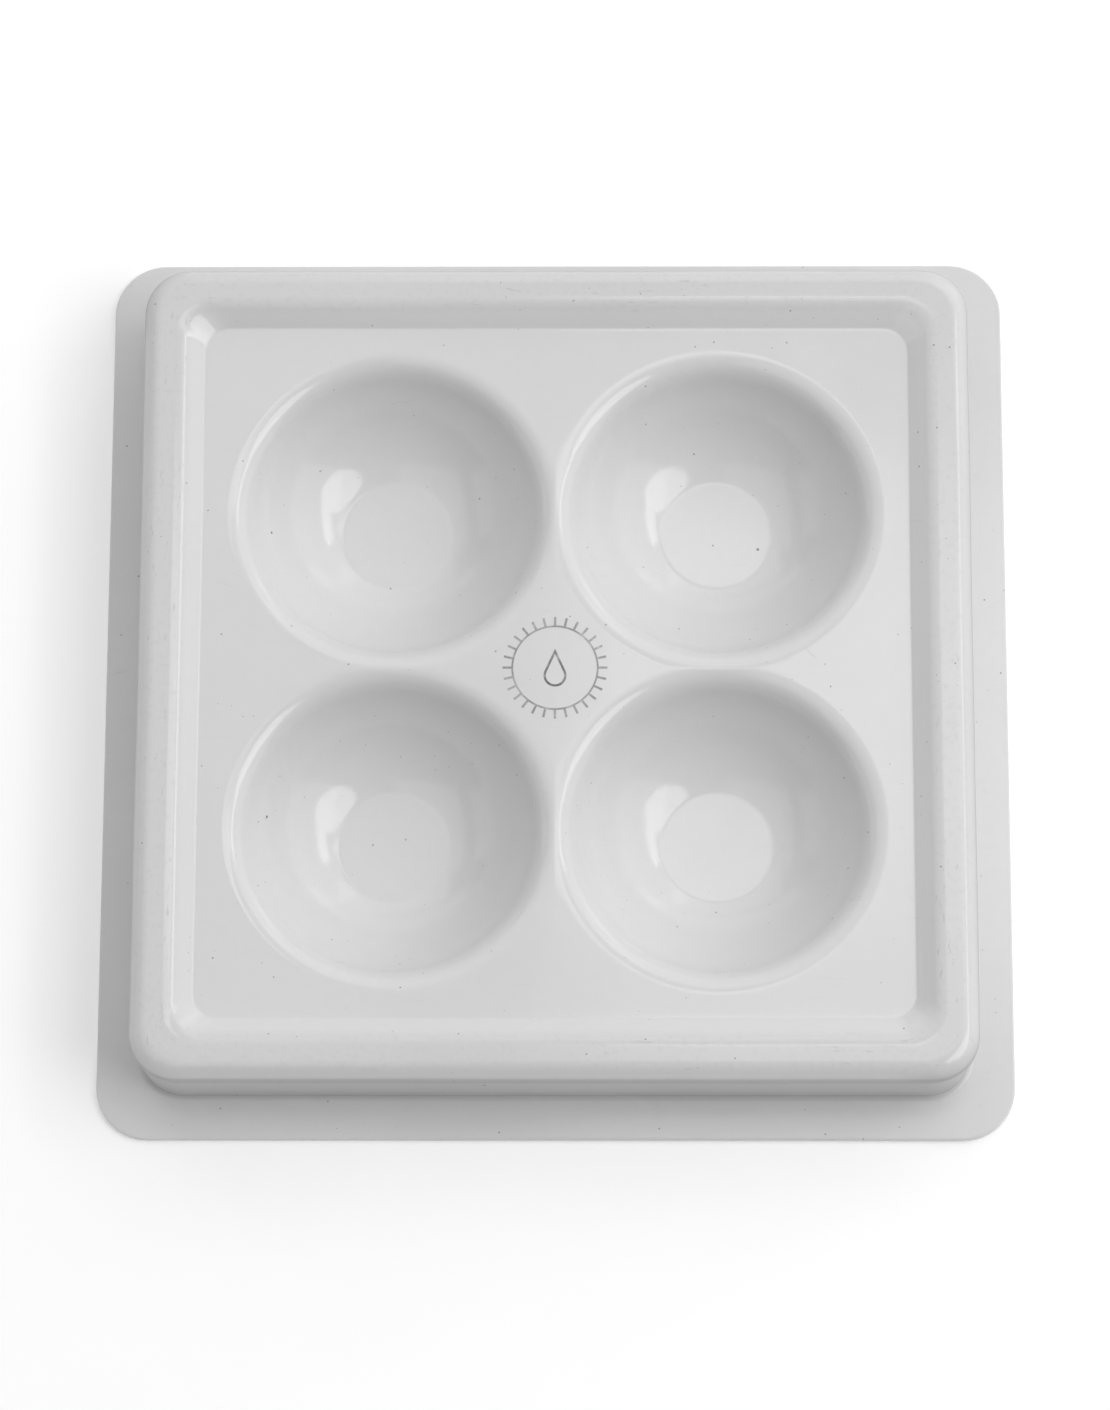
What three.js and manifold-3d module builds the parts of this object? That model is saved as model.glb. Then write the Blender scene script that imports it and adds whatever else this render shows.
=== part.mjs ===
// A square four-well mixing palette: one sheet of white plastic, thermoformed into a shallow tray.
// A flat trimmed flange runs all round. Inside it an upright wall rises to a rounded bead, and the bead
// slopes down to a flat floor with four round wells, each with its own small flat bottom.
// Millimetres, +Z up. The flange's underside, which the palette rests on, lies in z = 0, and the
// origin is the middle of the square.

import * as THREE from "three";
import { mergeVertices } from "three/addons/utils/BufferGeometryUtils.js";
import Module from "manifold-3d";

const wasm = await Module();
wasm.setup();

// The sheet and the flange
const sheetThickness = 1.5;
const trayWidth = 200;
const flangeCornerRadius = 11.5;

// The wall and the bead on top of it
const wallHalfWidth = 90.45;
const wallFootRadius = 1;
const wallTopHeight = 21.6;
const beadHalfWidth = 91.1;
const beadOuterRadius = 4;
const beadUndercutAngle = 25;
const beadTopHeight = 27.5;
const beadInnerRadius = 6.5;
const beadInnerSlope = 28;
const beadCornerRadius = 10;

// The floor
const floorHalfWidth = 77.6;
const floorHeight = 24.5;
const floorCornerRadius = 5.5;

// The wells
const wellPitch = 71.1;
const wellMouthRadius = 36.7;
const wellLipRadius = 6;
const wellSteepestAngle = 65;
const wellFlatRadius = 12.4;
const wellDepth = 19.9;

// The print in the middle of the floor
const inkThickness = 0.1;
const tickCount = 28;
const tickWidth = 0.5;
const tickTipRadius = 11.4;
const ringOuterRadius = 9.5;
const ringInnerRadius = 9.1;
const dropRadius = 2.5;
const dropTipDistance = 6;
const dropLineWidth = 0.5;

// How finely round shapes are divided
const cornerSteps = 6;
const bendSteps = 5;
const wellSides = 32;
const bowlSteps = 6;
const lipSteps = 4;
const dropSteps = 20;

const plastic = {
  color: 0xcbcbca,
  roughness: 0.22,
  metalness: 0,
};
const ink = {
  color: 0x55585a,
  roughness: 0.6,
  metalness: 0,
};

const degrees = Math.PI / 180;

// Points on a round stretch of an outline, from one angle to another, both ends included.
function arcPoints(centreX, centreY, radius, fromAngle, toAngle, steps) {
  const points = [];
  for (let i = 0; i <= steps; i += 1) {
    const angle = fromAngle + (i / steps) * (toAngle - fromAngle);
    const x = centreX + radius * Math.cos(angle);
    const y = centreY + radius * Math.sin(angle);
    points.push(new THREE.Vector2(x, y));
  }
  return points;
}

// The unit vector square to the stretch from a to b, on its left-hand side.
function leftNormal(a, b) {
  const along = b.clone().sub(a).normalize();
  return new THREE.Vector2(-along.y, along.x);
}

// For each point of an outline, the step that moves it one millimetre square to both its stretches.
function mitres(outline) {
  const last = outline.length - 1;
  return outline.map((point, i) => {
    const before = leftNormal(outline[Math.max(i - 1, 0)], outline[Math.max(i, 1)]);
    const after = leftNormal(outline[Math.min(i, last - 1)], outline[Math.min(i + 1, last)]);
    return before.clone().add(after).divideScalar(1 + before.dot(after));
  });
}

// The outline of the sheet's other face, one thickness below the given one.
function otherFace(outline) {
  const steps = mitres(outline);
  return outline.map((point, i) => point.clone().addScaledVector(steps[i], -sheetThickness));
}

function solidFrom(geometry) {
  const bare = geometry.clone();
  bare.deleteAttribute("normal");
  bare.deleteAttribute("uv");
  const merged = mergeVertices(bare, 1e-5);
  const index = merged.index.array;
  const triangles = [];
  for (let i = 0; i < index.length; i += 3) {
    const [a, b, c] = [index[i], index[i + 1], index[i + 2]];
    if (a !== b && b !== c && c !== a) {
      triangles.push(a, b, c);
    }
  }
  const mesh = new wasm.Mesh({
    numProp: 3,
    vertProperties: new Float32Array(merged.attributes.position.array),
    triVerts: new Uint32Array(triangles),
  });
  return new wasm.Manifold(mesh);
}

function geometryFrom(solid) {
  const mesh = solid.getMesh();
  const geometry = new THREE.BufferGeometry();
  geometry.setAttribute("position", new THREE.BufferAttribute(mesh.vertProperties, 3));
  geometry.setIndex(new THREE.BufferAttribute(mesh.triVerts, 1));
  geometry.computeVertexNormals();
  return geometry;
}

function namedMesh(name, geometry, look) {
  const mesh = new THREE.Mesh(geometry, new THREE.MeshStandardMaterial(look));
  mesh.name = name;
  return mesh;
}

// The tray's corner radius at a given distance from the middle, on the upper face.
function cornerRadiusAt(halfWidth) {
  const { mapLinear } = THREE.MathUtils;
  if (halfWidth < floorHalfWidth) {
    return 0;
  }
  if (halfWidth < beadHalfWidth) {
    return mapLinear(halfWidth, floorHalfWidth, beadHalfWidth, floorCornerRadius, beadCornerRadius);
  }
  return mapLinear(halfWidth, beadHalfWidth, trayWidth / 2, beadCornerRadius, flangeCornerRadius);
}

// The tray's upper face from the middle out to the flange's edge, as distance from the middle and height.
function trayOutline() {
  const slope = beadInnerSlope * degrees;
  const slopeRise = beadTopHeight - floorHeight - beadInnerRadius * (1 - Math.cos(slope));
  const slopeRun = slopeRise / Math.tan(slope);
  const beadInnerX = floorHalfWidth + slopeRun + beadInnerRadius * Math.sin(slope);
  const beadInnerY = beadTopHeight - beadInnerRadius;
  const beadOuterX = beadHalfWidth - beadOuterRadius;
  const beadOuterY = beadTopHeight - beadOuterRadius;
  const footX = wallHalfWidth + wallFootRadius;
  const footY = sheetThickness + wallFootRadius;
  const undercut = -beadUndercutAngle * degrees;
  return [
    new THREE.Vector2(0, floorHeight),
    new THREE.Vector2(floorHalfWidth, floorHeight),
    ...arcPoints(beadInnerX, beadInnerY, beadInnerRadius, Math.PI / 2 + slope, Math.PI / 2, bendSteps),
    ...arcPoints(beadOuterX, beadOuterY, beadOuterRadius, Math.PI / 2, undercut, bendSteps + 2),
    new THREE.Vector2(wallHalfWidth, wallTopHeight),
    ...arcPoints(footX, footY, wallFootRadius, Math.PI, 1.5 * Math.PI, bendSteps - 2),
    new THREE.Vector2(trayWidth / 2, sheetThickness),
  ];
}

// The sheet before its wells are drawn: the outline's two faces carried round a rounded square.
// A lathe gives the closed skin, and each of its points is then moved from a circle to the square.
function plainTray() {
  const upper = trayOutline();
  const steps = mitres(upper);
  const lower = otherFace(upper);
  const upperRadii = upper.map((point) => cornerRadiusAt(point.x));
  const lowerRadii = upperRadii.map((radius, i) => Math.max(radius - sheetThickness * steps[i].x, 0));
  const outline = [...lower, ...upper.toReversed()];
  const radii = [...lowerRadii, ...upperRadii.toReversed()];
  const loopSteps = 4 * (cornerSteps + 1);
  const lathe = new THREE.LatheGeometry(outline, loopSteps);
  const position = lathe.attributes.position;
  for (let i = 0; i <= loopSteps; i += 1) {
    const corner = Math.floor(i / (cornerSteps + 1)) % 4;
    const angle = (corner + (i % (cornerSteps + 1)) / cornerSteps) * 90 * degrees;
    const sideX = corner === 0 || corner === 3 ? 1 : -1;
    const sideY = corner < 2 ? 1 : -1;
    outline.forEach((point, j) => {
      const centre = point.x - radii[j];
      const x = sideX * centre + radii[j] * Math.cos(angle);
      const y = sideY * centre + radii[j] * Math.sin(angle);
      position.setXYZ(i * outline.length + j, x, y, point.y);
    });
  }
  return solidFrom(lathe);
}

// A well's upper face, from its axis out to the floor, as radius and height.
function wellOutline() {
  const steepest = wellSteepestAngle * degrees;
  const flatHeight = floorHeight - wellDepth;
  const lipFootX = wellMouthRadius - wellLipRadius * Math.sin(steepest);
  const lipFootY = floorHeight - wellLipRadius * (1 - Math.cos(steepest));
  const chord = new THREE.Vector2(lipFootX - wellFlatRadius, lipFootY - flatHeight);
  const creaseAngle = 2 * chord.angle() - steepest;
  const bowlRadius = chord.length() / (2 * Math.sin((steepest - creaseAngle) / 2));
  const bowlX = wellFlatRadius - bowlRadius * Math.sin(creaseAngle);
  const bowlY = flatHeight + bowlRadius * Math.cos(creaseAngle);
  const down = -90 * degrees;
  const up = 90 * degrees;
  const lipY = floorHeight - wellLipRadius;
  return [
    new THREE.Vector2(0, flatHeight),
    ...arcPoints(bowlX, bowlY, bowlRadius, down + creaseAngle, down + steepest, bowlSteps),
    ...arcPoints(wellMouthRadius, lipY, wellLipRadius, up + steepest, up, lipSteps).slice(1),
  ];
}

// A round solid below an outline's last point, closed by a flat lid at the given height.
function lathedSolid(outline, lidRadius, lidHeight) {
  const closed = [
    ...outline,
    new THREE.Vector2(lidRadius, lidHeight),
    new THREE.Vector2(0, lidHeight),
  ];
  const geometry = new THREE.LatheGeometry(closed, wellSides);
  geometry.rotateX(90 * degrees);
  return solidFrom(geometry);
}

// The space inside a well. Its lip runs on a little above the floor so that the cut is clean.
function wellSpace() {
  const outline = wellOutline();
  const [beforeLast, last] = outline.slice(-2);
  const beyond = last.clone().add(last.clone().sub(beforeLast));
  return lathedSolid([...outline, beyond], beyond.x, beadTopHeight);
}

// The well's plastic and the space inside it together, up to the middle of the floor's thickness.
function wellBody() {
  const outline = otherFace(wellOutline());
  return lathedSolid(outline, wellMouthRadius, floorHeight - sheetThickness / 2);
}

function traySheet() {
  const places = [];
  for (const x of [-wellPitch / 2, wellPitch / 2]) {
    for (const y of [-wellPitch / 2, wellPitch / 2]) {
      places.push([x, y, 0]);
    }
  }
  const body = wellBody();
  const space = wellSpace();
  let sheet = plainTray();
  for (const place of places) {
    sheet = sheet.add(body.translate(place));
  }
  for (const place of places) {
    sheet = sheet.subtract(space.translate(place));
  }
  return geometryFrom(sheet);
}

function extrudedInk(shape) {
  const geometry = new THREE.ExtrudeGeometry(shape, {
    depth: inkThickness,
    bevelEnabled: false,
    curveSegments: 2,
  });
  geometry.translate(0, 0, floorHeight);
  return geometry;
}

// A thin ring with short radial ticks standing out all round it.
function tickRing() {
  const spacing = (2 * Math.PI) / tickCount;
  const halfFoot = Math.asin(tickWidth / 2 / ringOuterRadius);
  const halfTip = Math.asin(tickWidth / 2 / tickTipRadius);
  const outline = [];
  for (let i = 0; i < tickCount; i += 1) {
    const middle = i * spacing;
    outline.push(
      ...arcPoints(0, 0, ringOuterRadius, middle - spacing / 2, middle - halfFoot, 1),
      ...arcPoints(0, 0, tickTipRadius, middle - halfTip, middle + halfTip, 1),
      ...arcPoints(0, 0, ringOuterRadius, middle + halfFoot, middle + spacing / 2, 1).slice(0, -1),
    );
  }
  const shape = new THREE.Shape(outline);
  const hole = arcPoints(0, 0, ringInnerRadius, 0, 2 * Math.PI, 2 * tickCount);
  shape.holes.push(new THREE.Path(hole.slice(0, -1)));
  return extrudedInk(shape);
}

// A drop: a round underside of the given radius, and two straight sides that meet at a tip.
function dropPoints(radius, tipDistance) {
  const sideAngle = Math.acos(radius / tipDistance);
  const up = 90 * degrees;
  return [
    new THREE.Vector2(0, tipDistance),
    ...arcPoints(0, 0, radius, up + sideAngle, up + 360 * degrees - sideAngle, dropSteps),
  ];
}

// The drop as a line of even width: the hole's sides run parallel to the outer ones.
function dropMark() {
  const shape = new THREE.Shape(dropPoints(dropRadius, dropTipDistance));
  const innerRadius = dropRadius - dropLineWidth;
  const innerTip = dropTipDistance * (innerRadius / dropRadius);
  shape.holes.push(new THREE.Path(dropPoints(innerRadius, innerTip)));
  const geometry = extrudedInk(shape);
  geometry.translate(0, (dropRadius - dropTipDistance) / 2, 0);
  return geometry;
}

const group = new THREE.Group();
group.add(namedMesh("tray_sheet", traySheet(), plastic));
group.add(namedMesh("printed_tick_ring", tickRing(), ink));
group.add(namedMesh("printed_drop", dropMark(), ink));

export default group;
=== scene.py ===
import math

import bmesh
import bpy
import numpy as np
from mathutils import Matrix, Vector, noise


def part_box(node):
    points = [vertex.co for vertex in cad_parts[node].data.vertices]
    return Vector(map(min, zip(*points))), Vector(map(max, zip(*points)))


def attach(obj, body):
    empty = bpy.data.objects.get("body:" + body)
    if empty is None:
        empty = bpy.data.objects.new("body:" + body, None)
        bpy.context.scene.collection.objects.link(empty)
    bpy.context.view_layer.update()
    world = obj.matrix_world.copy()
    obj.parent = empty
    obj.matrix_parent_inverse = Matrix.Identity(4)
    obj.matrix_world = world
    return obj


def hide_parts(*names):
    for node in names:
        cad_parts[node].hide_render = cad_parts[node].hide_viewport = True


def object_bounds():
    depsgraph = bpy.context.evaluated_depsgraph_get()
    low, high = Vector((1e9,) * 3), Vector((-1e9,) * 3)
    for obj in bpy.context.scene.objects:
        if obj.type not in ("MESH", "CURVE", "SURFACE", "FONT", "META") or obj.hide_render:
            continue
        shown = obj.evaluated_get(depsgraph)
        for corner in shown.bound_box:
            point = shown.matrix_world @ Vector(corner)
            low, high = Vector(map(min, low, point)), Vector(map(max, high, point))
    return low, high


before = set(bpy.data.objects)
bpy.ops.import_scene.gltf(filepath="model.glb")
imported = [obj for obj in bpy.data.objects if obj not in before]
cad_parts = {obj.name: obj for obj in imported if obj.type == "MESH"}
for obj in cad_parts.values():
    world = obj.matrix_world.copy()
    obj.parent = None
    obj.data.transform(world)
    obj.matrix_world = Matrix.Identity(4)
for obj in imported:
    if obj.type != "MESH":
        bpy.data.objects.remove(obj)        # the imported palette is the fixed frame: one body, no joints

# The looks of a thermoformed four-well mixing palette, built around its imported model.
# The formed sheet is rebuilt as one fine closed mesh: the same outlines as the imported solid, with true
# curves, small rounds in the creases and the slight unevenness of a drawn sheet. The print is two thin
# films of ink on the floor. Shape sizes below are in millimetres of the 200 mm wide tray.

CAD_LOW, CAD_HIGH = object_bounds()
TRAY_LOW, TRAY_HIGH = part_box("tray_sheet")
BODY = "root"

# One millimetre of the tray, taken from the frame's own width, and the frame's own heights
TRAY_WIDTH = 200.0
MM = (TRAY_HIGH.x - TRAY_LOW.x) / TRAY_WIDTH
BEAD_TOP = TRAY_HIGH.z / MM
FLOOR_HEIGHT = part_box("printed_tick_ring")[0].z / MM

# The sheet and the flange
SHEET = 1.5
FLANGE_CORNER = 11.5
TRIM_ROUND = 0.3

# The wall and the bead on top of it
WALL_HALF = 90.45
WALL_FOOT_ROUND = 1.0
BEAD_HALF = 91.1
BEAD_OUTER_ROUND = 4.0
BEAD_UNDERCUT = math.radians(25)
BEAD_INNER_ROUND = 5.8
BEAD_SLOPE_TOP = math.radians(28)
BEAD_SLOPE_FOOT = math.radians(34)
BEAD_CORNER = 10.0
UNDER_BEAD_ROUND = 0.45

# The floor and the wells
FLOOR_HALF = 77.6
FLOOR_CORNER = 5.5
FLOOR_EDGE_ROUND = 0.8
WELL_PITCH = 71.1
WELL_MOUTH = 36.7
WELL_LIP_ROUND = 6.0
WELL_STEEPEST = math.radians(65)
WELL_FLAT = 12.4
WELL_DEPTH = 19.9
WELL_CREASE_ROUND = 2.4

# The print in the middle of the floor
INK_FILM = 0.03
TICKS = 28
TICK_WIDTH = 0.5
TICK_TIP = 11.4
RING_OUTER = 9.5
RING_INNER = 9.1
DROP_ROUND = 2.5
DROP_TIP = 6.0
DROP_LINE = 0.5
GAP_STEPS = 4

# The sheet's unevenness: how far it sinks, what share it shrinks by, and the lengths over which both vary.
# It is full from a radius outwards, and from a height above the flange upwards.
SINK = 0.16
SINK_LENGTH = 47.0
SHRINK = 0.0022
SHRINK_LENGTH = 31.0
SHRINK_RADIUS = 90.0
LEVEL_RADIUS = 13.0
LEVEL_BLEND = 12.0
UNEVEN_HEIGHT = 8.0

# The plastic's own colour, which is mottled between these two
PLASTIC_TINT = (0.74, 0.74, 0.74, 1)
PLASTIC_SHADE = (0.72, 0.72, 0.72, 1)

# Heights on the outer side where its painted shade changes. A painted shadow line runs under the bead's outer
# round, and painted shade covers the wall and the undercut below it.
BEAD_SHADOW_TOP = BEAD_TOP - 2.1
BEAD_SHADOW_DARK = BEAD_TOP - 3.0
BEAD_SHADOW_FOOT = 21.5
WALL_TOP = 20.5
TUCK_DARK = 19.5
TUCK_FOOT = 16.5

# How much the painted shadow line under the bead, the painted shade on the wall and the painted shade in the
# crease at its foot darken the colour: shares of the way to dark grey
BEAD_SHADOW_SHADE = 0.38
WALL_SHADE = 0.26
FOOT_SHADE = 0.15

# Distances outwards from the middle of a bead corner, in millimetres: where the bead's crown ends, where
# its outer side is reached, and where the crease at the wall's foot ends on the flange
CROWN_END = 6.2
OUTER_SIDE = 8.6
WALL_NEAR = 8.0
WALL_REACH = 9.0
FOOT_REACH = 9.9
FOOT_END = 10.6

# The spacing of the mould's turning marks in the wells
TOOL_RING_SPACING = 1.7

# How far the loops on flat stretches stay from the rounds beside them
FLOOR_MARGIN = 1.0
MOUTH_MARGIN = 0.4
TUCK_MARGIN = 1.5
FOOT_MARGIN = 0.5
TRIM_MARGIN = 0.4

# The radii of the rings across a well's flat bottom
FLAT_RINGS = (0.0, 3.0, 6.5, 9.5, 11.5)

# Points closer than this are joined
WELD = 0.002

# How finely the mesh is divided
SIDE_STEPS = 42
CORNER_STEPS = 12
RIDGE_STEPS = 48
BOWL_STEPS = 17
LIP_STEPS = 11
UNDER_BOWL_STEPS = 10
UNDER_LIP_STEPS = 6

# The mesh's rings round a well stay round up to this depth below the floor. Above it they spread out to the
# quarter's edge, and near that edge, where two wells' lips meet, the height is smoothed.
SPREAD_DEPTH = 5.0
SPREAD_SHARE = 0.8
SPREAD_RINGS = (0.15, 0.4, 0.7, 1.0)
RIDGE_WIDTH = 2.5
RIDGE_REACH = (-0.6, -0.3, 0.0, 0.3, 0.6)


# ---------------------------------------------------------------- outlines

def arc(centre, radius, start, end, steps):
    """Points on a round stretch, from one angle to another, both ends included."""
    angles = np.linspace(start, end, steps + 1)
    return np.stack([centre[0] + radius * np.cos(angles), centre[1] + radius * np.sin(angles)], axis=1)


def rounded(corner, arriving, leaving, radius, steps):
    """Points that round off a corner between two directions."""
    turn = math.atan2(arriving[0] * leaving[1] - arriving[1] * leaving[0], np.dot(arriving, leaving))
    side = math.copysign(1.0, turn)
    start = np.array(corner) - np.array(arriving) * radius * math.tan(abs(turn) / 2)
    centre = start + side * radius * np.array([-arriving[1], arriving[0]])
    first = math.atan2(start[1] - centre[1], start[0] - centre[0])
    return arc(centre, radius, first, first + turn, steps)


def mitres(outline):
    """For each point, the step that moves it one unit square to both its stretches, to their left."""
    along = np.diff(outline, axis=0)
    along /= np.linalg.norm(along, axis=1)[:, None]
    left = np.stack([-along[:, 1], along[:, 0]], axis=1)
    before = np.vstack([left[:1], left])
    after = np.vstack([left, left[-1:]])
    return (before + after) / (1 + (before * after).sum(axis=1))[:, None]


def rim_outline():
    """The upper face from the floor's edge to the trim, as distance from the middle and height."""
    slope_rise = BEAD_TOP - FLOOR_HEIGHT - BEAD_INNER_ROUND * (1 - math.cos(BEAD_SLOPE_TOP))
    slope_round = slope_rise / (math.cos(BEAD_SLOPE_TOP) - math.cos(BEAD_SLOPE_FOOT))
    foot_turn = math.pi / 2 + BEAD_SLOPE_FOOT
    towards_foot = np.array([math.cos(foot_turn), math.sin(foot_turn)])
    slope_centre = np.array([FLOOR_HALF, FLOOR_HEIGHT]) - slope_round * towards_foot
    slope = arc(slope_centre, slope_round, foot_turn, math.pi / 2 + BEAD_SLOPE_TOP, 4)
    inner_centre = (slope[-1][0] + BEAD_INNER_ROUND * math.sin(BEAD_SLOPE_TOP), BEAD_TOP - BEAD_INNER_ROUND)
    rising = (math.cos(BEAD_SLOPE_FOOT), math.sin(BEAD_SLOPE_FOOT))
    floor_edge = rounded((FLOOR_HALF, FLOOR_HEIGHT), (1, 0), rising, FLOOR_EDGE_ROUND, 4)
    outer_centre = (BEAD_HALF - BEAD_OUTER_ROUND, BEAD_TOP - BEAD_OUTER_ROUND)
    tuck = (-math.sin(BEAD_UNDERCUT), -math.cos(BEAD_UNDERCUT))
    tuck_end = arc(outer_centre, BEAD_OUTER_ROUND, -BEAD_UNDERCUT, -BEAD_UNDERCUT, 0)[0]
    reach = (tuck_end[0] - WALL_HALF) / math.sin(BEAD_UNDERCUT)
    wall_top = tuck_end + reach * np.array(tuck)
    foot_centre = (WALL_HALF + WALL_FOOT_ROUND, SHEET + WALL_FOOT_ROUND)
    crown = np.linspace(inner_centre[0], outer_centre[0], 4)[1:-1]
    wall = np.linspace(wall_top[1] - TUCK_MARGIN, foot_centre[1] + FOOT_MARGIN, 5)
    flange = np.linspace(foot_centre[0] + FOOT_MARGIN, TRAY_WIDTH / 2 - TRIM_ROUND - TRIM_MARGIN, 4)
    return np.vstack([
        (FLOOR_HALF - FLOOR_MARGIN, FLOOR_HEIGHT),
        floor_edge,
        slope[1:-1],
        arc(inner_centre, BEAD_INNER_ROUND, math.pi / 2 + BEAD_SLOPE_TOP, math.pi / 2, 8),
        np.stack([crown, np.full_like(crown, BEAD_TOP)], axis=1),
        arc(outer_centre, BEAD_OUTER_ROUND, math.pi / 2, -BEAD_UNDERCUT, 15),
        rounded(wall_top, tuck, (0, -1), UNDER_BEAD_ROUND, 3),
        np.stack([np.full_like(wall, WALL_HALF), wall], axis=1),
        arc(foot_centre, WALL_FOOT_ROUND, math.pi, 1.5 * math.pi, 5),
        np.stack([flange, np.full_like(flange, SHEET)], axis=1),
    ])


def well_outline(bowl_steps, lip_steps):
    """A well's upper face from its axis out to the floor, as radius and height."""
    flat_height = FLOOR_HEIGHT - WELL_DEPTH
    lip_foot = np.array([
        WELL_MOUTH - WELL_LIP_ROUND * math.sin(WELL_STEEPEST),
        FLOOR_HEIGHT - WELL_LIP_ROUND * (1 - math.cos(WELL_STEEPEST)),
    ])
    crease = np.array([WELL_FLAT, flat_height])
    chord = lip_foot - crease
    crease_angle = 2 * math.atan2(chord[1], chord[0]) - WELL_STEEPEST
    bowl_round = np.linalg.norm(chord) / (2 * math.sin((WELL_STEEPEST - crease_angle) / 2))
    bowl_centre = crease + bowl_round * np.array([-math.sin(crease_angle), math.cos(crease_angle)])
    past_round = WELL_CREASE_ROUND * math.tan(crease_angle / 2) / bowl_round
    down = -math.pi / 2
    return np.vstack([
        [(radius, flat_height) for radius in FLAT_RINGS],
        rounded(crease, (1, 0), (math.cos(crease_angle), math.sin(crease_angle)), WELL_CREASE_ROUND, 3),
        arc(bowl_centre, bowl_round, down + crease_angle + past_round, down + WELL_STEEPEST, bowl_steps)[1:],
        arc((WELL_MOUTH, FLOOR_HEIGHT - WELL_LIP_ROUND), WELL_LIP_ROUND,
            math.pi / 2 + WELL_STEEPEST, math.pi / 2, lip_steps)[1:],
        (WELL_MOUTH + MOUTH_MARGIN, FLOOR_HEIGHT),
    ])


# ---------------------------------------------------------------- the sheet's mesh

def corner_round_at(half):
    """The tray's corner radius at a distance from the middle, on the upper face."""
    distances = [FLOOR_HALF, BEAD_HALF, TRAY_WIDTH / 2]
    return np.interp(half, distances, [FLOOR_CORNER, BEAD_CORNER, FLANGE_CORNER])


def quarter_loop(half, corner):
    """A quarter of a rounded square, from the +X side's middle round to just before the +Y side's middle."""
    centre = half - corner
    up = np.linspace(0, centre, SIDE_STEPS + 1)[:-1]
    angles = np.linspace(0, math.pi / 2, CORNER_STEPS + 1)
    across = np.linspace(centre, 0, SIDE_STEPS + 1)[1:-1]
    return np.vstack([
        np.stack([np.full_like(up, half), up], axis=1),
        centre + corner * np.stack([np.cos(angles), np.sin(angles)], axis=1),
        np.stack([across, np.full_like(across, half)], axis=1),
    ])


def quarter_turn(points, turns):
    """The points turned about the tray's upright axis by a number of right angles."""
    c, s = [(1, 0), (0, 1), (-1, 0), (0, -1)][turns]
    turned = points.copy()
    turned[:, 0] = c * points[:, 0] - s * points[:, 1]
    turned[:, 1] = s * points[:, 0] + c * points[:, 1]
    return turned


def ring_faces(rows, columns, start=0):
    """Quads between rings of points, one ring after another."""
    faces = []
    for i in range(rows - 1):
        for j in range(columns):
            k = (j + 1) % columns
            a, b = start + i * columns, start + (i + 1) * columns
            faces.append((a + j, b + j, b + k, a + k))
    return faces


def ridge_height(xy, profile):
    """The face's height where two wells' lips meet in a ridge, taken as the mean of what is close by."""
    centre = WELL_PITCH / 2
    total = np.zeros(len(xy))
    for dx in RIDGE_REACH:
        for dy in RIDGE_REACH:
            near = np.abs(xy + (dx, dy)) - centre
            total += np.interp(np.hypot(near[:, 0], near[:, 1]), profile[:, 0], profile[:, 1])
    return total / len(RIDGE_REACH) ** 2


def well_quarter(profile, half, corner):
    """One quarter of the floor with its well: points and faces, in rings round the well's axis that spread
    out to the quarter's edge."""
    centre = np.array([WELL_PITCH / 2, WELL_PITCH / 2])
    inner = np.linspace(0, half, RIDGE_STEPS + 1)[:-1]
    edge = np.vstack([
        np.stack([inner, np.zeros_like(inner)], axis=1),
        quarter_loop(half, corner),
        np.stack([np.zeros_like(inner), np.linspace(half, 0, RIDGE_STEPS + 1)[:-1]], axis=1),
    ])
    out = edge - centre
    reach = np.hypot(out[:, 0], out[:, 1])
    way = out / reach[:, None]
    lip_start = profile[profile[:, 1] < FLOOR_HEIGHT - SPREAD_DEPTH][-1, 0]
    mouth = profile[-1, 0]
    lip_end = np.minimum(mouth, lip_start + SPREAD_SHARE * (reach - lip_start))
    rings = []
    for radius in profile[1:, 0]:
        share = (radius - lip_start) / (mouth - lip_start)
        rings.append(np.full_like(reach, radius) if share <= 0 else lip_start + share * (lip_end - lip_start))
    for share in SPREAD_RINGS:
        rings.append(lip_end + share * (reach - lip_end))
    points = [np.array([[centre[0], centre[1], profile[0, 1]]])]
    for i, radius in enumerate(rings):
        xy = centre + way * radius[:, None]
        if i == len(rings) - 1:
            xy = edge
        z = np.interp(radius, profile[:, 0], profile[:, 1])
        close = (radius > lip_start) & (np.abs(xy).min(axis=1) < RIDGE_WIDTH)
        z[close] = ridge_height(xy[close], profile)
        points.append(np.column_stack([xy, z]))
    columns = len(edge)
    faces = [(0, 1 + j, 1 + (j + 1) % columns) for j in range(columns)]
    faces += ring_faces(len(rings), columns, 1)
    return np.vstack(points), faces


def uneven(points):
    """The slight unevenness of a drawn sheet. It only ever moves a point inwards or down, so that the
    sheet stays in its packed box, and it leaves the middle of the floor, where the print is, level."""
    moved = points.copy()
    for i, (x, y, z) in enumerate(points):
        sink = 0.5 + 0.5 * noise.noise(Vector((x / SINK_LENGTH, y / SINK_LENGTH, 0.3)))
        shrink = 0.5 + 0.5 * noise.noise(Vector((y / SHRINK_LENGTH, x / SHRINK_LENGTH, 4.7)))
        out = math.hypot(x, y)
        away = min(max((out - LEVEL_RADIUS) / LEVEL_BLEND, 0.0), 1.0)
        height = min(max((z - SHEET) / UNEVEN_HEIGHT, 0.0), 1.0)
        scale = 1.0 - SHRINK * shrink * height * min(out / SHRINK_RADIUS, 1.0)
        moved[i] = (x * scale, y * scale, z - SINK * sink * away * height)
    return moved


def mesh_object(name, points, faces):
    """A new object with the mesh of these points, given in millimetres, and faces."""
    mesh = bpy.data.meshes.new(name)
    mesh.from_pydata((np.array(points) * MM).tolist(), [], faces)
    mesh.validate()
    mesh.update()
    piece = bpy.data.objects.new(name, mesh)
    bpy.context.scene.collection.objects.link(piece)
    return piece


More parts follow.
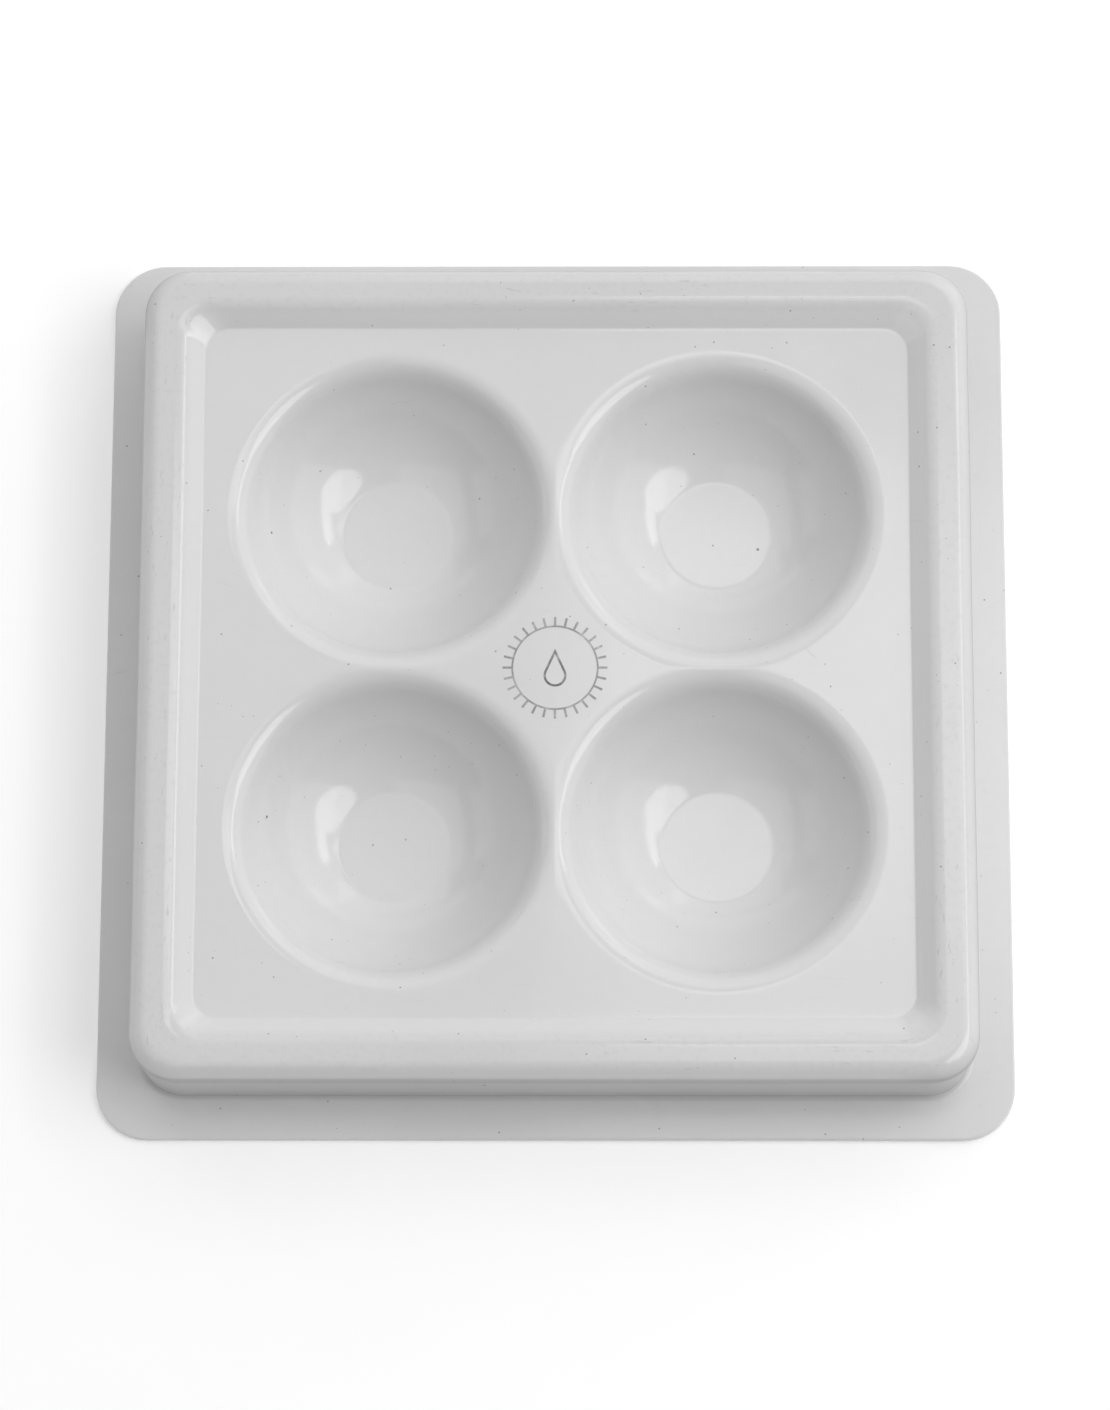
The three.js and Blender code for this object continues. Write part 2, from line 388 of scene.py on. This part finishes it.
def weld(piece):
    """Joins points that lie on each other, and turns every face outwards."""
    work = bmesh.new()
    work.from_mesh(piece.data)
    bmesh.ops.remove_doubles(work, verts=work.verts, dist=WELD * MM)
    bmesh.ops.recalc_face_normals(work, faces=work.faces)
    work.to_mesh(piece.data)
    work.free()
    piece.data.update()


def tray_sheet():
    """The whole formed sheet as one closed mesh."""
    rim = rim_outline()
    steps = mitres(rim)
    rim_round = corner_round_at(rim[:, 0])
    under = rim - SHEET * steps
    under_round = rim_round - SHEET * steps[:, 0]
    trim_x = TRAY_WIDTH / 2 - TRIM_ROUND
    trim = np.vstack([
        arc((trim_x, SHEET - TRIM_ROUND), TRIM_ROUND, math.pi / 2, 0, 4),
        arc((trim_x, TRIM_ROUND), TRIM_ROUND, 0, -math.pi / 2, 4),
    ])
    outline = np.vstack([rim, trim, under[::-1]])
    rounds = np.concatenate([rim_round, corner_round_at(trim[:, 0]), under_round[::-1]])
    columns = 4 * (2 * SIDE_STEPS + CORNER_STEPS)
    loops = []
    for (half, height), corner in zip(outline, rounds):
        quarter = quarter_loop(half, corner)
        quarter = np.column_stack([quarter, np.full(len(quarter), height)])
        loops.append(np.vstack([quarter_turn(quarter, turns) for turns in range(4)]))
    points = [np.vstack(loops)]
    faces = ring_faces(len(outline), columns)
    top_profile = well_outline(BOWL_STEPS, LIP_STEPS)
    coarse = well_outline(UNDER_BOWL_STEPS, UNDER_LIP_STEPS)
    under_profile = coarse - SHEET * mitres(coarse)
    for profile, edge in ((top_profile, 0), (under_profile, -1)):
        quarter, quarter_faces = well_quarter(profile, outline[edge, 0], rounds[edge])
        for turns in range(4):
            start = sum(len(p) for p in points)
            points.append(quarter_turn(quarter, turns))
            faces += [tuple(start + v for v in face) for face in quarter_faces]
    piece = mesh_object("palette_sheet", uneven(np.vstack(points)), faces)
    weld(piece)
    for polygon in piece.data.polygons:
        polygon.use_smooth = True
    return piece


# ---------------------------------------------------------------- the print

def film(name, points, faces):
    """A flat patch of ink lying on the floor: the faces given in plan, closed below and round their edge."""
    count = len(points)
    low = FLOOR_HEIGHT - INK_FILM
    high = FLOOR_HEIGHT + INK_FILM
    solid = [(x, y, high) for x, y in points] + [(x, y, low) for x, y in points]
    edges = {}
    for face in faces:
        for a, b in zip(face, face[1:] + face[:1]):
            edges[(a, b)] = True
    walls = [(a, b, b + count, a + count) for a, b in edges if (b, a) not in edges]
    under = [tuple(v + count for v in reversed(face)) for face in faces]
    piece = mesh_object(name, solid, [tuple(face) for face in faces] + under + walls)
    weld(piece)
    return piece


def polar(radius, angle):
    return (radius * math.cos(angle), radius * math.sin(angle))


def tick_ring():
    """A thin ring with short radial ticks standing out all round it."""
    spacing = 2 * math.pi / TICKS
    half_tick = math.asin(TICK_WIDTH / 2 / RING_OUTER)
    half_tip = math.asin(TICK_WIDTH / 2 / TICK_TIP)
    points = []
    faces = []
    for i in range(TICKS):
        middle = i * spacing
        gap = np.linspace(middle + half_tick, middle + spacing - half_tick, GAP_STEPS + 1)
        start = len(points)
        for angle in (middle - half_tick, *gap[:-1]):
            points += [polar(RING_INNER, angle), polar(RING_OUTER, angle)]
        tip = len(points)
        points += [polar(TICK_TIP, middle - half_tip), polar(TICK_TIP, middle + half_tip)]
        faces.append([start + 1, tip, tip + 1, start + 3])
        for j in range(GAP_STEPS):
            k = start + 2 * j
            faces.append([k, k + 1, k + 3, k + 2])
        last = start + 2 * GAP_STEPS
        after = (tip + 2) % (TICKS * (2 * GAP_STEPS + 4))
        faces.append([last, last + 1, after + 1, after])
    return film("printed_ring_film", points, [face[::-1] for face in faces])


def drop_edge(radius, tip):
    """A drop: a round underside, and two straight sides that meet at a tip. Moved so its middle is at 0."""
    side = math.acos(radius / tip)
    turn = arc((0, 0), radius, math.pi / 2 + side, 2.5 * math.pi - side, 40)
    down = np.linspace((0, tip), turn[0], 7)[:-1]
    up = np.linspace(turn[-1], (0, tip), 7)[1:-1]
    return np.vstack([down, turn, up])


def drop_mark():
    """The outline of a drop, as a line of even width that follows it round."""
    outer = drop_edge(DROP_ROUND, DROP_TIP)
    inner_round = DROP_ROUND - DROP_LINE
    inner = drop_edge(inner_round, DROP_TIP * inner_round / DROP_ROUND)
    count = len(outer)
    points = np.vstack([outer, inner]) + (0, (DROP_ROUND - DROP_TIP) / 2)
    faces = [[j, (j + 1) % count, count + (j + 1) % count, count + j] for j in range(count)]
    return film("printed_drop_film", points.tolist(), faces)


# ---------------------------------------------------------------- materials

def grey(value):
    return (value, value, value, 1)


class Look:
    """A material's node tree, with short ways to add and join nodes."""

    def __init__(self, name):
        self.material = bpy.data.materials.new(name)
        self.material.use_nodes = True
        self.tree = self.material.node_tree
        self.shader = self.tree.nodes["Principled BSDF"]
        self.place = self.node("ShaderNodeTexCoord").outputs["Object"]

    def node(self, kind, inputs=None, **settings):
        made = self.tree.nodes.new(kind)
        for key, value in settings.items():
            setattr(made, key, value)
        for key, value in (inputs or {}).items():
            self.feed(made.inputs[key], value)
        return made

    def feed(self, socket, value):
        if isinstance(value, bpy.types.NodeSocket):
            self.tree.links.new(value, socket)
        else:
            socket.default_value = value

    def math(self, operation, a, b=0.0, c=0.0):
        return self.node("ShaderNodeMath", {0: a, 1: b, 2: c}, operation=operation).outputs[0]

    def times(self, a, b):
        return self.math("MULTIPLY", a, b)

    def plus(self, a, b):
        return self.math("ADD", a, b)

    def minus(self, a, b):
        return self.math("SUBTRACT", a, b)

    def most(self, a, b):
        return self.math("MAXIMUM", a, b)

    def unsigned(self, a):
        return self.math("ABSOLUTE", a)

    def length(self, a, b):
        return self.math("SQRT", self.plus(self.times(a, a), self.times(b, b)))

    def band(self, value, low, high, to_low=0.0, to_high=1.0):
        """The value mapped smoothly from low..high to to_low..to_high, and held beyond them."""
        inputs = {"Value": value, "From Min": low, "From Max": high, "To Min": to_low, "To Max": to_high}
        return self.node("ShaderNodeMapRange", inputs, interpolation_type="SMOOTHSTEP").outputs["Result"]

    def rise(self, length, none, full, amount=1.0):
        """0 where a length is at the first size in millimetres, and the amount where it is at the second."""
        return self.band(length, none * MM, full * MM, 0.0, amount)

    def stretched(self, scale, turn=0.0):
        """The place on the piece in metres, stretched and turned."""
        inputs = {"Vector": self.place, "Scale": scale, "Rotation": (0, 0, turn)}
        return self.node("ShaderNodeMapping", inputs).outputs["Vector"]

    def noise(self, scale, detail=2.0, vector=None, distortion=0.0):
        inputs = {"Vector": vector or self.place, "Scale": scale, "Detail": detail, "Distortion": distortion}
        return self.node("ShaderNodeTexNoise", inputs).outputs["Fac"]

    def mix(self, share, a, b):
        return self.node("ShaderNodeMix", {0: share, 6: a, 7: b}, data_type="RGBA").outputs[2]

    def bump(self, height, distance, normal=None):
        inputs = {"Height": height, "Distance": distance * MM}
        if normal is not None:
            inputs["Normal"] = normal
        return self.node("ShaderNodeBump", inputs).outputs["Normal"]


def specks(look, spacing, radius, share):
    """Dust specks: a small spot in some of the cells of a scattered pattern. Sizes in millimetres."""
    cells = look.node("ShaderNodeTexVoronoi", {"Vector": look.place, "Scale": 1 / (spacing * MM)})
    near = look.band(cells.outputs["Distance"], radius / spacing, 0.55 * radius / spacing)
    chosen = look.node("ShaderNodeSeparateColor", {"Color": cells.outputs["Color"]}).outputs["Red"]
    return look.times(near, look.band(chosen, 1 - share, 1 - share + 0.05))


def hairlines(look, scale, width, turn):
    """Fine scratches: short stretches of the lines where a stretched noise passes its middle value."""
    field = look.noise(scale, 0.0, look.stretched((1.0, 7.0, 1.0), turn))
    line = look.band(look.unsigned(look.minus(field, 0.5)), width, 0.0)
    where = look.band(look.noise(scale * 5.0, 1.0), 0.6, 0.68)
    return look.times(line, where)


def scuffs(look, x, y, on_bead):
    """Short dark rub marks along the top of the bead: all down its left side, and in patches elsewhere."""
    upright = look.rise(look.minus(look.unsigned(x), look.unsigned(y)), -2.0, 2.0)
    across = look.noise(1.0, 3.0, look.stretched((260, 1500, 600)))
    along = look.noise(1.0, 3.0, look.stretched((1500, 260, 600)))
    mark = look.plus(look.times(across, look.minus(1.0, upright)), look.times(along, upright))
    patches = look.band(look.noise(16.0, 2.0), 0.53, 0.65)
    where = look.times(on_bead, look.most(look.rise(x, -70, -80), patches))
    return look.times(look.band(mark, 0.64, 0.74), where)


def outward(look, x, y):
    """How far out a place is from the middle of the bead's rounded corners."""
    corner = (BEAD_HALF - BEAD_CORNER) * MM
    return look.length(*[look.most(look.minus(look.unsigned(v), corner), 0.0) for v in (x, y)])


def painted_wall_shade(look, z, reach):
    """Painted shade: how much darker the wall under the bead, the shadow line under the bead's outer round,
    the shaded undercut and the crease at the wall's foot are than the rest.
    """
    bead_shadow = look.times(look.rise(z, BEAD_SHADOW_TOP, BEAD_SHADOW_DARK, BEAD_SHADOW_SHADE), look.rise(z, TUCK_DARK, BEAD_SHADOW_FOOT))
    wall = look.rise(z, BEAD_SHADOW_FOOT, WALL_TOP, WALL_SHADE)
    tuck = look.times(wall, look.rise(z, TUCK_FOOT, TUCK_DARK))
    high = look.times(look.most(bead_shadow, look.plus(wall, tuck)), look.rise(z, SHEET + 0.3, SHEET + 1.6))
    crease = look.rise(z, SHEET + 1.4, SHEET + 0.3, FOOT_SHADE)
    foot = look.times(crease, look.rise(reach, FOOT_END, FOOT_REACH))
    return look.times(look.rise(reach, WALL_NEAR, WALL_REACH), look.most(high, foot))


def outer_side(look, z, reach):
    """1 on the outer side of the bead and on the wall, 0 on the crown, the flange and the rest."""
    side = look.times(look.rise(reach, CROWN_END, OUTER_SIDE), look.rise(z, BEAD_TOP - 0.3, BEAD_TOP - 2.3))
    return look.times(side, look.rise(z, SHEET + 0.5, SHEET + 2.0))


def painted_far_side_shade(look, x, y, z):
    """1 on the right and back sides of the bead, where a painted shade makes the outer side darker."""
    right_or_back = look.most(look.rise(x, 70, 85), look.rise(y, 70, 85))
    return look.times(right_or_back, look.rise(z, TUCK_DARK, BEAD_SHADOW_FOOT))


def tool_rings(look, x, y, z):
    """The mould's turning marks in the wells, as a height."""
    from_axis = look.length(*[look.minus(look.unsigned(v), WELL_PITCH / 2 * MM) for v in (x, y)])
    rings = look.math("SINE", look.times(from_axis, 2 * math.pi / (TOOL_RING_SPACING * MM)))
    below_floor = look.rise(z, FLOOR_HEIGHT - 3.0, FLOOR_HEIGHT - 5.0)
    return look.times(rings, look.times(below_floor, look.rise(from_axis, WELL_MOUTH, WELL_MOUTH - 4.0)))


def plastic_look():
    """Glossy white sheet: faintly mottled, less glossy on the bead's outer side and the wall, with painted
    shade on the wall, under the bead, in the crease at the wall's foot and on the bead's right and back outer
    side, the bead's crown a little darker, and a little dusty and worn.
    """
    look = Look("white_plastic")
    x, y, z = look.node("ShaderNodeSeparateXYZ", {0: look.place}).outputs
    reach = outward(look, x, y)
    # the bead's outer side and the wall: less glossy here, and the mask for the painted shade on the right
    # and back sides
    drawn = outer_side(look, z, reach)
    on_bead = look.rise(z, BEAD_TOP - 1.6, BEAD_TOP - 0.3)
    rub = look.times(on_bead, look.band(look.noise(700.0, 6.0), 0.5, 0.72))
    marks = scuffs(look, x, y, on_bead)
    lines = look.most(hairlines(look, 30.0, 0.004, 0.5), hairlines(look, 24.0, 0.003, 2.1))
    dust = specks(look, 2.6, 0.17, 0.3)
    grit = specks(look, 4.0, 0.26, 0.4)
    crumbs = specks(look, 12.0, 0.42, 0.4)
    smudge = look.noise(38.0, 5.0, distortion=0.6)

    mottle = look.band(look.noise(22.0, 3.0), 0.3, 0.7, 0.0, 0.7)
    grain = look.band(look.noise(420.0, 4.0), 0.35, 0.65, 0.0, 0.3)
    colour = look.mix(look.plus(mottle, grain), PLASTIC_SHADE, PLASTIC_TINT)
    for share, amount, tint in (
        # painted shade on the wall, under the bead's outer round and in the crease at the wall's foot
        (painted_wall_shade(look, z, reach), 1.0, grey(0.34)),
        # painted shade on the right and back outer side of the bead
        (look.times(drawn, painted_far_side_shade(look, x, y, z)), 0.3, grey(0.36)),
        (on_bead, 0.1, grey(0.36)),
        (rub, 0.08, grey(0.36)),
        (marks, 0.28, grey(0.3)),
        (lines, 0.14, grey(0.4)),
        (dust, 0.55, (0.2, 0.19, 0.18, 1)),
        (grit, 0.6, (0.1, 0.09, 0.08, 1)),
        (crumbs, 0.75, (0.06, 0.055, 0.05, 1)),
    ):
        colour = look.mix(look.times(share, amount), colour, tint)
    look.feed(look.shader.inputs["Base Color"], colour)
    look.feed(look.shader.inputs["Specular IOR Level"], look.band(drawn, 0.0, 1.0, 0.5, 0.0))

    rough = look.plus(look.band(smudge, 0.35, 0.7, 0.09, 0.15), look.times(look.most(rub, marks), 0.12))
    look.feed(look.shader.inputs["Roughness"], look.plus(rough, look.times(lines, 0.15)))

    rings = look.times(tool_rings(look, x, y, z), look.band(smudge, 0.4, 0.6))
    normal = look.bump(look.noise(300.0, 2.0), 0.006)
    normal = look.bump(rings, 0.0016, normal)
    normal = look.bump(look.minus(dust, lines), 0.012, normal)
    look.feed(look.shader.inputs["Normal"], normal)
    look.shader.inputs["IOR"].default_value = 1.5
    return look.material


def ink_look(name, tint):
    """Dull grey pad print, thinner in places so that the white shows through it a little."""
    look = Look(name)
    worn = look.band(look.noise(900.0, 4.0), 0.48, 0.7)
    patch = look.band(look.noise(120.0, 2.0), 0.4, 0.65)
    colour = look.mix(look.times(look.plus(worn, patch), 0.3), tint, PLASTIC_SHADE)
    look.feed(look.shader.inputs["Base Color"], colour)
    look.feed(look.shader.inputs["Roughness"], look.band(worn, 0, 1, 0.45, 0.62))
    look.feed(look.shader.inputs["Normal"], look.bump(look.noise(1500.0, 2.0), 0.01))
    return look.material


def floor_look():
    """A plain pale studio floor that glows a little, so that the shadow on it stays faint."""
    look = Look("pale_floor")
    look.feed(look.shader.inputs["Base Color"], look.mix(look.noise(60.0, 3.0), grey(0.93), grey(0.95)))
    look.shader.inputs["Roughness"].default_value = 0.9
    look.shader.inputs["Specular IOR Level"].default_value = 0.2
    look.shader.inputs["Emission Color"].default_value = grey(1)
    look.shader.inputs["Emission Strength"].default_value = 0.2
    return look.material


# ---------------------------------------------------------------- the palette

def add_piece(piece, node, material):
    piece.data.materials.append(material)
    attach(piece, BODY)
    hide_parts(node)


add_piece(tray_sheet(), "tray_sheet", plastic_look())
add_piece(tick_ring(), "printed_tick_ring", ink_look("grey_ink", (0.3, 0.305, 0.31, 1)))
add_piece(drop_mark(), "printed_drop", ink_look("dark_ink", (0.15, 0.152, 0.155, 1)))


# ---------------------------------------------------------------- floor, light and camera

# The floor reaches this many tray widths out each way, and lies just under the flange
FLOOR_REACH = 45
FLOOR_GAP = 0.2

# The soft lights hang this high over the palette, or stand this far off at its sides, in metres
LIGHT_HEIGHT = 1.6
LIGHT_DISTANCE = 2.0


def studio_floor():
    size = FLOOR_REACH * TRAY_WIDTH * MM
    height = CAD_LOW.z - FLOOR_GAP * MM
    mesh = bpy.data.meshes.new("studio_floor")
    corners = [(-size, -size, height), (size, -size, height), (size, size, height), (-size, size, height)]
    mesh.from_pydata(corners, [], [(0, 1, 2, 3)])
    mesh.materials.append(floor_look())
    floor = bpy.data.objects.new("studio_floor", mesh)
    bpy.context.scene.collection.objects.link(floor)


def softbox(name, place, turn, width, depth, radiance, shape="RECTANGLE"):
    """A flat soft light, in metres, that faces straight down before it is turned."""
    data = bpy.data.lights.new(name, "AREA")
    data.shape = shape
    data.size = width
    data.size_y = depth
    area = width * depth * (math.pi / 4 if shape == "ELLIPSE" else 1.0)
    data.energy = radiance * math.pi * area
    light = bpy.data.objects.new(name, data)
    light.location = place
    light.rotation_mode = "QUATERNION"
    light.rotation_quaternion = turn
    bpy.context.scene.collection.objects.link(light)


def overhead(name, x, y, width, depth, radiance, turn=0.0, shape="RECTANGLE"):
    """A level soft light over the palette, turned about the upright axis by some degrees."""
    turned = Matrix.Rotation(math.radians(turn), 3, "Z").to_quaternion()
    softbox(name, (x, y, LIGHT_HEIGHT), turned, width, depth, radiance, shape)


def beside(name, azimuth, elevation, width, height, radiance):
    """A soft light off to a side that faces the palette. Azimuth 0 is towards +X and 90 towards +Y."""
    a, e = math.radians(azimuth), math.radians(elevation)
    towards = Vector((math.cos(a) * math.cos(e), math.sin(a) * math.cos(e), math.sin(e)))
    softbox(name, LIGHT_DISTANCE * towards, towards.to_track_quat("Z", "Y"), width, height, radiance)


def surroundings(radiance):
    world = bpy.data.worlds.new("studio")
    world.use_nodes = True
    background = world.node_tree.nodes["Background"]
    background.inputs["Color"].default_value = grey(1)
    background.inputs["Strength"].default_value = radiance
    bpy.context.scene.world = world


# The view: nearly straight down, from the front and a little from the right
VIEW_AZIMUTH = math.radians(2.99)
VIEW_ELEVATION = math.radians(75.86)
VIEW_ROLL = math.radians(-2.91)
VIEW_DISTANCE = 5.628 * TRAY_WIDTH
VIEW_AIM = (-0.28, -2.6, SHEET)
VIEW_LENS = 129.6


def add_camera():
    across = Vector((math.cos(VIEW_AZIMUTH), math.sin(VIEW_AZIMUTH), 0))
    level = math.cos(VIEW_ELEVATION)
    back = Vector((across.y * level, -across.x * level, math.sin(VIEW_ELEVATION)))
    up = back.cross(across)
    right = math.cos(VIEW_ROLL) * across + math.sin(VIEW_ROLL) * up
    up = back.cross(right)
    data = bpy.data.cameras.new("camera")
    data.lens = VIEW_LENS
    data.sensor_width = 36
    data.clip_start = 0.01
    data.clip_end = 100
    camera = bpy.data.objects.new("camera", data)
    turn = Matrix((right, up, back)).transposed().to_4x4()
    place = (Vector(VIEW_AIM) + back * VIEW_DISTANCE) * MM
    camera.matrix_world = Matrix.Translation(place) @ turn
    bpy.context.scene.collection.objects.link(camera)
    bpy.context.scene.camera = camera


studio_floor()
surroundings(0.16)
overhead("overhead_front", 1.27, -0.44, 1.4, 1.12, 3.1, shape="ELLIPSE")
overhead("overhead_arm", 1.47, 0.38, 0.42, 0.85, 2.9, turn=17)
overhead("overhead_strip", 1.54, 0.5, 0.12, 0.85, 6.0, turn=21)
overhead("overhead_back", 0.472, 0.395, 0.976, 0.27, 2.3)
overhead("overhead_middle", 0.472, 0.13, 0.976, 0.26, 1.1)
overhead("overhead_left", -0.95, 0.05, 1.7, 2.1, 0.66)
beside("right", 15, 32, 3.2, 2.0, 0.85)
beside("high_back", 95, 45, 2.4, 0.8, 0.9)
beside("back", 90, 20, 4.2, 0.8, 0.75)
beside("left", 180, 20, 1.4, 0.8, 0.75)
add_camera()
bpy.context.scene.view_settings.view_transform = "Standard"
